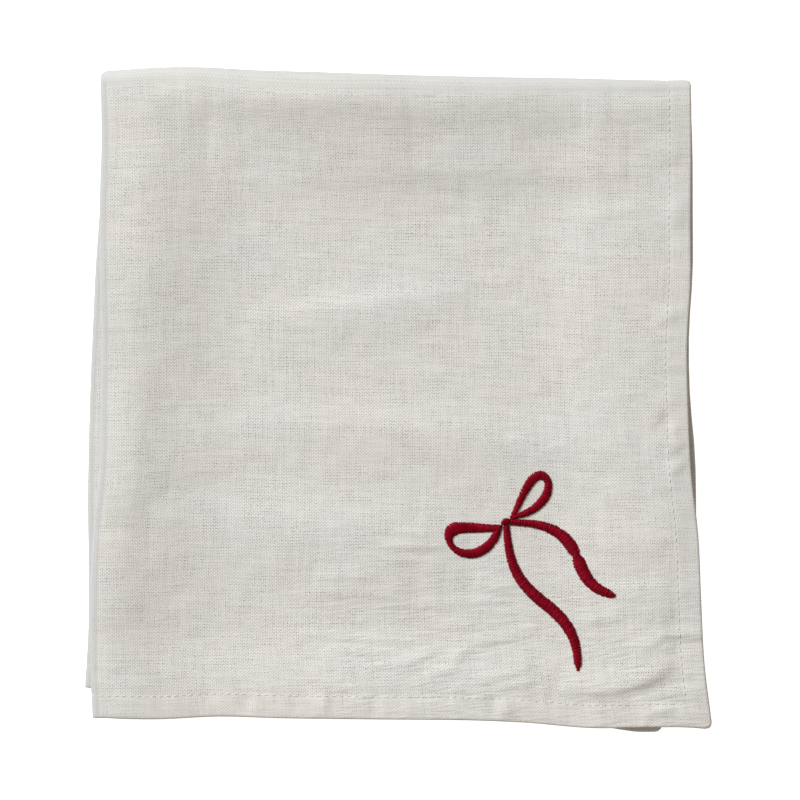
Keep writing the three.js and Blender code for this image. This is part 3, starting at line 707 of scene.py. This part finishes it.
def new_piece(name, points, faces, material):
    """A smooth mesh object from points in millimetres."""
    mesh = bpy.data.meshes.new(name)
    mesh.from_pydata((np.asarray(points) * MM).tolist(), [], faces)
    mesh.polygons.foreach_set("use_smooth", np.ones(len(mesh.polygons), bool))
    mesh.materials.append(material)
    return new_object(name, mesh)


class Shader:
    """Short calls for the nodes of one material. A value is a number, a colour or another node's output."""

    def __init__(self, name):
        self.material = bpy.data.materials.new(name)
        self.material.use_nodes = True
        self.tree = self.material.node_tree

    def surface(self, values):
        """Feed the surface's sockets by their names."""
        inputs = self.tree.nodes["Principled BSDF"].inputs
        for name, value in values.items():
            self.feed(inputs[name], value)

    def node(self, kind, **settings):
        made = self.tree.nodes.new(kind)
        for key, value in settings.items():
            setattr(made, key, value)
        return made

    def feed(self, socket, value):
        if isinstance(value, bpy.types.NodeSocket):
            self.tree.links.new(value, socket)
        else:
            socket.default_value = value

    def feed_all(self, made, values):
        """Feed a node's first sockets in their order. Its first output comes back."""
        for socket, value in zip(made.inputs, values):
            self.feed(socket, value)
        return made.outputs[0]

    def math(self, operation, *values):
        return self.feed_all(self.node("ShaderNodeMath", operation=operation), values)

    def times(self, value, *factors):
        for factor in factors:
            value = self.math("MULTIPLY", value, factor)
        return value

    def spread(self, noise, width):
        """Noise of 0 to 1 moved to lie about 0, and widened."""
        return self.times(self.math("SUBTRACT", noise, 0.5), width)

    def smooth(self, *values):
        """For a value, start, end, low and high: low up to start, high from end on, smooth between."""
        return self.feed_all(self.node("ShaderNodeMapRange", interpolation_type="SMOOTHSTEP"), values)

    def pattern(self, name, first, second):
        """One of the noise patterns, from 0 to 1, over two coordinates."""
        first_scale, second_scale, seed, detail = PATTERNS[name]
        scaled = (self.times(first, first_scale), self.times(second, second_scale), seed)
        made = self.node("ShaderNodeTexNoise")
        self.feed(made.inputs["Vector"], self.feed_all(self.node("ShaderNodeCombineXYZ"), scaled))
        self.feed(made.inputs["Scale"], 1.0)
        self.feed(made.inputs["Detail"], detail)
        return made.outputs[0]

    def flat_place(self, place):
        """The first two parts of a place."""
        split = self.node("ShaderNodeSeparateXYZ")
        self.feed(split.inputs[0], place)
        return split.outputs[0], split.outputs[1]

    def mix(self, share, first, second):
        made = self.node("ShaderNodeMix", data_type="RGBA")
        self.feed(made.inputs[0], share)
        self.feed(made.inputs[6], first)
        self.feed(made.inputs[7], second)
        return made.outputs[2]

    def scaled_colour(self, colour, factor):
        made = self.node("ShaderNodeVectorMath", operation="SCALE")
        self.feed(made.inputs[0], colour)
        self.feed(made.inputs["Scale"], factor)
        return made.outputs[0]

    def bump(self, height):
        made = self.node("ShaderNodeBump")
        self.feed(made.inputs["Strength"], 1.0)
        self.feed(made.inputs["Distance"], 1.0)
        self.feed(made.inputs["Height"], height)
        return made.outputs[0]


def at_hem(s, place, hem_line, share):
    """1 up to the inner line of a hem, and the share past it, in the hem."""
    return s.smooth(place, hem_line - HEM_BLEND, hem_line + HEM_BLEND, 1.0, share)


def single_cloth(s, u, v):
    """1 where the cloth is single, and less in its hems, where the turned-in cloth fills the pinholes."""
    shares = []
    for place, back, front in ((u, BACK_WIDTH, FRONT_WIDTH), (v, FAR_LENGTH, NEAR_LENGTH)):
        middle, half = (front - back) / 2 * MM, (front + back) / 2 * MM
        from_middle = s.math("ABSOLUTE", s.math("SUBTRACT", place, middle))
        shares.append(at_hem(s, from_middle, half - HEM_WIDTH * MM, HEM_OPENNESS))
    return s.math("MINIMUM", *shares)


def painted_hem_light_and_shade(s, u, v):
    """Painted light on the near hem and painted shade on the side hem of the top layer: how much lighter or
    darker than single cloth they are drawn.
    """
    side = at_hem(s, u, (FRONT_WIDTH - HEM_WIDTH) * MM, SIDE_HEM_PAINTED_SHADE)
    near = at_hem(s, v, (NEAR_LENGTH - HEM_WIDTH) * MM, NEAR_HEM_PAINTED_LIGHT)
    return s.times(side, near)


def fine_wrinkles(s, u, v):
    """Heights of thin wrinkles, nearly level, in the front layer towards its lower right corner."""
    slanted = s.math("ADD", v, s.times(u, WRINKLE_SLANT))
    folded = s.math("ABSOLUTE", s.spread(s.pattern("wrinkles", u, slanted), WRINKLE_HEIGHT))
    right = s.smooth(u, *WRINKLES_FROM_U, 0.0, 1.0)
    low = s.smooth(v, *WRINKLES_FROM_V, 0.0, 1.0)
    return s.times(folded, right, low)


def yarn_places(s, u, v):
    """Places across the warp and across the weft, counted in yarns. The yarns wander a little."""
    warp_drift = s.spread(s.pattern("warp_drift", u, v), YARN_DRIFT)
    weft_drift = s.spread(s.pattern("weft_drift", u, v), YARN_DRIFT)
    warp = s.math("ADD", s.math("DIVIDE", u, WARP_PITCH), warp_drift)
    weft = s.math("ADD", s.math("DIVIDE", v, WEFT_PITCH), weft_drift)
    return warp, weft


def pinholes(s, u, v, warp, weft):
    """Pinholes where the gaps between yarns cross. Gaps differ in width, and the yarns lie in pairs."""
    patches = s.spread(s.pattern("patches", u, v), PATCH_SPREAD)
    gaps = (("warp_gaps", warp, v, WARP_PAIRING), ("weft_gaps", weft, u, WEFT_PAIRING))
    depths = []
    for name, place, along, pairing in gaps:
        gap = s.math("ROUND", place)
        reach = s.smooth(s.math("ADD", s.pattern(name, gap, along), patches), *GAP_NOISE, *GAP_REACH)
        every_second_gap = s.math("COSINE", s.times(gap, math.pi))
        reach = s.times(reach, s.smooth(every_second_gap, -1.0, 1.0, pairing, 1.0))
        away = s.math("ABSOLUTE", s.math("SUBTRACT", place, gap))
        depths.append(s.smooth(s.math("DIVIDE", away, reach), *GAP_EDGE, 1.0, 0.0))
    return s.times(*depths)


def yarn_heights(s, warp, weft):
    """Rounded yarns that pass over and under each other: their height, and which of the two lies on top."""
    waves_across = [s.math("SINE", s.times(place, math.pi)) for place in (warp, weft)]
    over = s.times(*waves_across)
    lift = s.times(over, YARN_LIFT)
    heights = []
    for wave, way in zip(waves_across, ("ADD", "SUBTRACT")):
        roundness = s.math("POWER", s.math("ABSOLUTE", wave), YARN_ROUNDNESS)
        heights.append(s.times(roundness, s.math(way, 1 - YARN_LIFT, lift)))
    return s.math("MAXIMUM", *heights), over


def yarn_brightness(s, u, v, warp, weft, openness):
    """Single yarns lighter or darker than their neighbours, and slubs."""
    warp_tone = s.times(s.pattern("warp_tone", s.math("FLOOR", warp), v), WARP_TONE_SHARE)
    weft_tone = s.times(s.pattern("weft_tone", s.math("FLOOR", weft), u), WEFT_TONE_SHARE)
    tone = s.math("ADD", s.math("ADD", warp_tone, weft_tone), s.pattern("slubs", u, v))
    contrast = s.times(openness, YARN_CONTRAST)
    return s.smooth(tone, *TONE_RANGE, s.math("SUBTRACT", 1.0, contrast), s.math("ADD", 1.0, contrast))


def linen_colour(s, u, v, from_side, from_top):
    """Patches of warm and cool tone, and painted shade that darkens the folds' edges."""
    clouds = s.times(s.pattern("clouds", u, v), CLOUD_SHARE)
    blotches = s.times(s.pattern("blotches", u, v), 1 - CLOUD_SHARE)
    warmth = s.smooth(s.math("ADD", clouds, blotches), *WARM_RANGE, 0.0, 1.0)
    # Painted shade, strongest at the edge of each fold
    side_painted_shade = s.smooth(from_side, *PAINTED_SHADE_AT_SIDE, 0.0)
    top_painted_shade = s.smooth(from_top, *PAINTED_SHADE_AT_TOP, 0.0)
    level = s.mix(warmth, LINEN_COOL, LINEN_WARM)
    return s.mix(s.math("MAXIMUM", side_painted_shade, top_painted_shade), level, LINEN_PAINTED_SHADE_AT_FOLD)


def linen_material():
    """Open plain weave of slubby yarns, with pinholes between them, coloured with painted shade and light in
    its weave, hems and folds.
    """
    s = Shader("linen")
    u, v = s.flat_place(s.node("ShaderNodeUVMap", uv_map=GRAIN_MAP).outputs[0])
    from_side = s.times(s.math("ABSOLUTE", u), 1 / (SIDE_ARC * MM))
    from_top = s.times(s.math("ABSOLUTE", v), 1 / (TOP_ARC * MM))
    openness = s.smooth(s.math("MINIMUM", from_side, from_top), *OPEN_AT_FOLD, 1.0)
    single = single_cloth(s, u, v)
    warp, weft = yarn_places(s, u, v)
    uneven = s.pattern("uneven", s.math("ROUND", warp), s.math("ROUND", weft))
    holes = s.times(pinholes(s, u, v, warp, weft), s.smooth(uneven, *UNEVEN_HOLES), single, openness)
    height, over = yarn_heights(s, warp, weft)
    yarn_relief = s.times(s.math("SUBTRACT", height, holes), openness, YARN_RELIEF)
    float_painted_light_and_shade = s.times(over, openness, FLOAT_PAINTED_LIGHT_AND_SHADE, single, s.smooth(uneven, *UNEVEN_FLOATS))
    # The yarns' own tone, with painted shade in the pinholes and painted light and shade on the yarns on top
    # and on the hems
    tone_and_painted_light_and_shade = s.times(
        s.math("SUBTRACT", 1.0, s.times(holes, PINHOLE_PAINTED_SHADE)),
        s.math("SUBTRACT", 1.0, float_painted_light_and_shade),
        yarn_brightness(s, u, v, warp, weft, openness),
        painted_hem_light_and_shade(s, u, v),
    )
    s.surface({
        "Base Color": s.scaled_colour(linen_colour(s, u, v, from_side, from_top), tone_and_painted_light_and_shade),
        "Roughness": s.smooth(height, 0.0, 1.0, 0.95, 0.8),
        "Specular IOR Level": 0.25,
        "Sheen Weight": 0.12,
        "Sheen Roughness": 0.5,
        "Normal": s.bump(s.math("ADD", yarn_relief, fine_wrinkles(s, u, v))),
    })
    return s.material


def hem_thread_material():
    """The cloth's own colour, a little lighter and smoother, with a twist."""
    s = Shader("hem_thread")
    x, y = s.flat_place(s.node("ShaderNodeTexCoord").outputs["Object"])
    twist = s.math("SINE", s.times(s.math("ADD", x, y), 2 * math.pi / HEM_TWIST_LENGTH))
    s.surface({
        "Base Color": s.mix(s.pattern("hem_thread", x, y), HEM_THREAD_DARK, HEM_THREAD_LIGHT),
        "Roughness": 0.6,
        "Sheen Weight": 0.1,
        "Normal": s.bump(s.times(twist, HEM_TWIST_HEIGHT)),
    })
    return s.material


def satin_material():
    """Deep red rayon thread, shiny along its length and uneven in tone from stitch to stitch."""
    s = Shader("satin_thread")
    tone = s.node("ShaderNodeAttribute", attribute_name="stitch_tone").outputs["Fac"]
    fibre = s.pattern("satin_fibres", *s.flat_place(s.node("ShaderNodeTexCoord").outputs["Object"]))
    s.surface({
        "Base Color": s.mix(tone, SATIN_DARK, SATIN_LIGHT),
        "Roughness": s.smooth(fibre, 0.2, 0.8, 0.42, 0.56),
        "Specular IOR Level": 0.4,
        "Specular Tint": (1, 0.02, 0.08, 1),
        "Normal": s.bump(s.times(fibre, SATIN_FIBRE_HEIGHT)),
    })
    return s.material


def every_second(lines):
    """Numbers of every second grid line, with both ends."""
    last = len(lines) - 1
    return np.append(np.arange(0, last, 2), last)


def rim_faces(outer, inner, picks):
    """Faces along one hem, from a row of outer points to the inner points under every second of them."""
    spans = zip(picks[:-1], picks[1:], inner[:-1], inner[1:])
    return [[*outer[start : end + 1], second, first] for start, end, first, second in spans]


def grid_faces(at):
    """Four-sided faces of a grid of point numbers."""
    corners = (at[:-1, :-1], at[:-1, 1:], at[1:, 1:], at[1:, :-1])
    return np.stack(corners, axis=-1).reshape(-1, 4).tolist()


def build_cloth():
    """The whole cloth: an outer face, an inner one with half the grid lines, and a rim along the hems."""
    ps = grid_lines(SIDE_ARC, BACK_WIDTH, FRONT_WIDTH, CELLS_ACROSS)
    qs = grid_lines(TOP_ARC, FAR_LENGTH, NEAR_LENGTH, CELLS_DOWN)
    p, q = np.meshgrid(ps, qs, indexing="ij")
    middle = cloth_points(p, q)
    out = unit(np.cross(np.gradient(middle, axis=1), np.gradient(middle, axis=0)))
    away = out * (thickness_at(p, q) / 2 - groove_at(p, q))[..., None]
    outer = middle + away
    outer[..., 2] = np.maximum(outer[..., 2], 0)
    pick_p, pick_q = every_second(ps), every_second(qs)
    picked = np.ix_(pick_p, pick_q)
    inner = (middle - away)[picked]
    at_outer = np.arange(p.size).reshape(p.shape)
    at_inner = p.size + np.arange(len(pick_p) * len(pick_q)).reshape(len(pick_p), len(pick_q))
    back_p, back_q = len(ps) - 1 - pick_p[::-1], len(qs) - 1 - pick_q[::-1]
    faces = grid_faces(at_outer) + grid_faces(at_inner[::-1])
    faces += rim_faces(at_outer[:, 0], at_inner[:, 0], pick_p)
    faces += rim_faces(at_outer[::-1, -1], at_inner[::-1, -1], back_p)
    faces += rim_faces(at_outer[0, ::-1], at_inner[0, ::-1], back_q)
    faces += rim_faces(at_outer[-1], at_inner[-1], pick_q)
    points = np.concatenate([outer.reshape(-1, 3), inner.reshape(-1, 3)])
    cloth = new_piece("napkin_linen", points, faces, linen_material())
    place = np.stack([p, q], axis=-1)
    grain = np.concatenate([place.reshape(-1, 2), place[picked].reshape(-1, 2)]) * MM
    layer = cloth.data.uv_layers.new(name=GRAIN_MAP)
    layer.data.foreach_set("uv", grain[np.concatenate(faces)].astype(np.float32).ravel())
    return cloth


def thread_mesh(name, paths, radii, material):
    """Round threads along paths of shape (threads, points, 3), with small flat ends."""
    count, steps, _ = paths.shape
    along = unit(np.gradient(paths, axis=1))
    sideways = unit(np.cross(along, (0, 0, 1)))
    up = np.cross(sideways, along)
    turn = 2 * math.pi * np.arange(THREAD_SIDES)[:, None] / THREAD_SIDES
    ring = np.cos(turn) * sideways[:, :, None, :] + np.sin(turn) * up[:, :, None, :]
    points = paths[:, :, None, :] + ring * radii[:, :, None, None]
    at = np.arange(count * steps * THREAD_SIDES).reshape(count, steps, THREAD_SIDES)
    after = np.roll(at, -1, axis=2)
    quads = np.stack([at[:, :-1], at[:, 1:], after[:, 1:], after[:, :-1]], axis=-1).reshape(-1, 4)
    starts, ends = at[:, 0], at[:, -1, ::-1]
    faces = quads.tolist() + starts.tolist() + ends.tolist()
    return new_piece(name, points.reshape(-1, 3), faces, material), count, steps * THREAD_SIDES


def build_hem_stitches():
    """Straight stitches along all four hems, on the outer face of the cloth."""
    lines = []
    for p in (FRONT_WIDTH - STITCH_INSET, STITCH_INSET - BACK_WIDTH):
        q = np.arange(STITCH_INSET - FAR_LENGTH, NEAR_LENGTH - STITCH_INSET - STITCH_PITCH, STITCH_PITCH)
        lines.append((np.full(q.shape, p), q, 0, 1))
    for q in (NEAR_LENGTH - STITCH_INSET, STITCH_INSET - FAR_LENGTH):
        p = np.arange(STITCH_INSET - BACK_WIDTH, FRONT_WIDTH - STITCH_INSET - STITCH_PITCH, STITCH_PITCH)
        lines.append((p, np.full(p.shape, q), 1, 0))
    share = np.linspace(0, 1, len(STITCH_SHAPE))
    paths = []
    for p, q, along_p, along_q in lines:
        stitch_p = p[:, None] + along_p * STITCH_LENGTH * share
        stitch_q = q[:, None] + along_q * STITCH_LENGTH * share
        middle = cloth_points(stitch_p, stitch_q)
        along = cloth_points(stitch_p, stitch_q + PROBE) - middle
        across = cloth_points(stitch_p + PROBE, stitch_q) - middle
        out = unit(np.cross(along, across))
        arch = STITCH_ARCH * STITCH_RADIUS * np.sqrt(np.sin(math.pi * share))
        lift = thickness_at(stitch_p, stitch_q) / 2 - STITCH_GROOVE + arch
        path = middle + lift[..., None] * out
        path[..., 2] = np.maximum(path[..., 2], STITCH_RADIUS)
        paths.append(path)
    paths = np.concatenate(paths)
    radii = STITCH_RADIUS * np.tile(STITCH_SHAPE, (len(paths), 1))
    return thread_mesh("hem_stitches", paths, radii, hem_thread_material())[0]


def from_knot(along, across, turn):
    """A point along and across from the knot, in a frame turned by an angle in degrees."""
    angle = np.radians(turn)
    x = KNOT_X + along * np.cos(angle) - across * np.sin(angle)
    y = KNOT_Y + along * np.sin(angle) + across * np.cos(angle)
    return np.stack([x, y], axis=-1)


def teardrop(angle, start, length, width):
    """A teardrop, drawn round its edge from its point at start back to that point."""
    along = start + length * (1 - np.cos(angle)) / 2
    across = width / TEARDROP_PEAK * np.sin(angle) * np.abs(np.sin(angle / 2))
    return along, across


def satin_column(name, edge_a, edge_b, material, random):
    """Satin stitches side by side, each from one edge of a column over to the other."""
    count = len(edge_a)
    edge_a = edge_a + random.normal(0, SATIN_JITTER, edge_a.shape)
    edge_b = edge_b + random.normal(0, SATIN_JITTER, edge_b.shape)
    share = np.linspace(0, 1, SATIN_STEPS)
    flat = lerp(edge_a[:, None], edge_b[:, None], share[None, :, None])
    across = np.linalg.norm(edge_b - edge_a, axis=1)
    height = SATIN_HEIGHT * ramp(across, *SATIN_RISE) * random.normal(1, SATIN_HEIGHT_SPREAD, count)
    dome = np.sin(math.pi * share) ** SATIN_DOME
    top, _, _ = layer_heights(flat[..., 0], flat[..., 1])
    z = top + CLOTH_THICKNESS / 2 - SATIN_SINK + height[:, None] * dome
    paths = np.concatenate([flat, z[..., None]], axis=-1)
    radii = SATIN_RADIUS * random.normal(1, SATIN_RADIUS_SPREAD, (count, 1))
    radii = radii * np.minimum(1, SATIN_END + SATIN_SWELL * dome)
    piece, threads, points_each = thread_mesh(name, paths, radii, material)
    tone = piece.data.attributes.new("stitch_tone", "FLOAT", "POINT")
    values = np.repeat(np.clip(random.normal(*SATIN_TONE, threads), 0, 1), points_each)
    tone.data.foreach_set("value", values.astype(np.float32))
    return piece


def evenly(edge_a, edge_b):
    """Sections of a column so spaced that its longer edge has a stitch at every pitch."""
    edges = (edge_a, edge_b)
    steps = [np.linalg.norm(np.diff(edge, axis=0), axis=1) for edge in edges]
    length = np.concatenate([[0], np.cumsum(np.maximum(*steps))])
    places = np.arange(0, length[-1], SATIN_PITCH)
    return [np.stack([np.interp(places, length, edge[:, k]) for k in (0, 1)], axis=-1) for edge in edges]


def build_loop(loop, material, random):
    """One loop: a column of satin stitches between a teardrop and its eye."""
    angle = np.linspace(0, 2 * math.pi, LOOP_POINTS)
    edges = []
    for start, length, width, lean in (
        (loop["eye_start"], loop["eye_length"], loop["eye_width"], loop["lean"]),
        (KNOT_CLEARANCE, loop["length"] - KNOT_CLEARANCE, loop["width"], 0),
    ):
        along, across = teardrop(angle, start, length, width)
        across = across + lean * along / loop["length"]
        edges.append(from_knot(along, across, loop["turn"] + loop["bend"] * along / loop["length"]))
    return satin_column(loop["name"] + "_satin", *evenly(*edges), material, random)


def build_tail(tail, material, random):
    """One tail: a column of satin stitches that leaves the knot, swings and narrows to its tip."""
    share = np.linspace(0, 1, TAIL_POINTS)
    swing = np.sin(math.pi * share ** tail["late"]) ** 2
    heading = np.radians(tail["start"] + tail["bend"] * share + tail["swing"] * swing)
    step = tail["length"] / (len(share) - 1)
    walk = np.stack([np.cos(heading), np.sin(heading)], axis=-1) * step
    start = from_knot(KNOT_CLEARANCE, 0, tail["start"])
    spine = start + np.cumsum(walk, axis=0) - walk[0]
    belly = np.sin(math.pi * share ** tail["late"])
    tip = lerp(TAIL_TIP_WIDTH, 1, ramp(1 - share, 0, TAIL_TIP))
    full = lerp(tail["narrow"], tail["wide"], belly) * tip
    if tail["twist"]:
        full = full * (1 - TWIST_NARROWING * bell(share - tail["twist"], TWIST_REACH))
    sideways = np.stack([-np.sin(heading), np.cos(heading)], axis=-1) * full[:, None] / 2
    edges = evenly(spine - sideways, spine + sideways)
    return satin_column(tail["name"] + "_satin", *edges, material, random)


def build_knot(material, random):
    """A short column of satin stitches where loops and tails meet."""
    along = np.linspace(-KNOT_RADIUS, KNOT_RADIUS, KNOT_POINTS)
    half = KNOT_SQUASH * np.sqrt(np.maximum(KNOT_RADIUS**2 - along**2, KNOT_BLUNTNESS))
    edges = [from_knot(along, side * half, KNOT_TURN) for side in (-1, 1)]
    return satin_column("bow_knot_satin", *evenly(*edges), material, random)


def make_floor():
    """A floor with a little light of its own, so that it reads as white paper."""
    corners = [(x * PAPER_REACH, y * PAPER_REACH, 0) for x, y in ((-1, -1), (1, -1), (1, 1), (-1, 1))]
    mesh = bpy.data.meshes.new("floor")
    mesh.from_pydata(corners, [], [(0, 1, 2, 3)])
    paper = Shader("white_paper")
    paper.surface({
        "Base Color": PAPER_COLOUR,
        "Roughness": 0.9,
        "Emission Color": (1, 1, 1, 1),
        "Emission Strength": PAPER_GLOW,
    })
    mesh.materials.append(paper.material)
    floor = new_object("floor", mesh)
    floor.visible_diffuse = False


def make_fill():
    """Even light from all round."""
    world = bpy.data.worlds.new("studio")
    world.use_nodes = True
    background = world.node_tree.nodes["Background"]
    background.inputs["Color"].default_value = FILL_COLOUR
    background.inputs["Strength"].default_value = FILL_STRENGTH
    bpy.context.scene.world = world


def make_key():
    """A square light that looks at the napkin."""
    light = bpy.data.lights.new("key", "AREA")
    light.size = KEY["size"]
    light.energy = KEY["power"]
    light.color = KEY_COLOUR
    azimuth, elevation = math.radians(KEY["azimuth"]), math.radians(KEY["elevation"])
    level = math.cos(elevation)
    way = Vector((level * math.cos(azimuth), level * math.sin(azimuth), math.sin(elevation)))
    lamp = new_object("key", light)
    lamp.location = KEY["distance"] * way
    lamp.rotation_euler = (-way).to_track_quat("-Z", "Y").to_euler()


def make_camera():
    """The camera, which looks straight down at the napkin."""
    data = bpy.data.cameras.new("camera")
    data.lens = LENS
    data.sensor_width = SENSOR
    camera = new_object("camera", data)
    camera.location = (CAMERA_X, CAMERA_Y, FIELD * LENS / SENSOR + FOCUS_HEIGHT)
    bpy.context.scene.camera = camera


cloth = build_cloth()
hem_stitches = build_hem_stitches()
satin = satin_material()
random = np.random.default_rng(SATIN_SEED)
bow = [build_knot(satin, random)]
bow += [build_loop(loop, satin, random) for loop in LOOPS]
bow += [build_tail(tail, satin, random) for tail in TAILS]

# Every piece is moved by the same small step, to the middle of the cloth's own solid
low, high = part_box("napkin_cloth")
corners = np.array([v.co for v in cloth.data.vertices])
shift_x, shift_y = ((np.array(low) + np.array(high)) / 2 - (corners.min(0) + corners.max(0)) / 2)[:2]
for piece in (cloth, hem_stitches, *bow):
    piece.data.transform(Matrix.Translation((shift_x, shift_y, 0)))
    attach(piece, "root")

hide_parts("napkin_cloth")
for piece in bow:
    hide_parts(piece.name.removesuffix("_satin"))

make_floor()
make_fill()
make_key()
make_camera()
bpy.context.scene.view_settings.view_transform = "Standard"
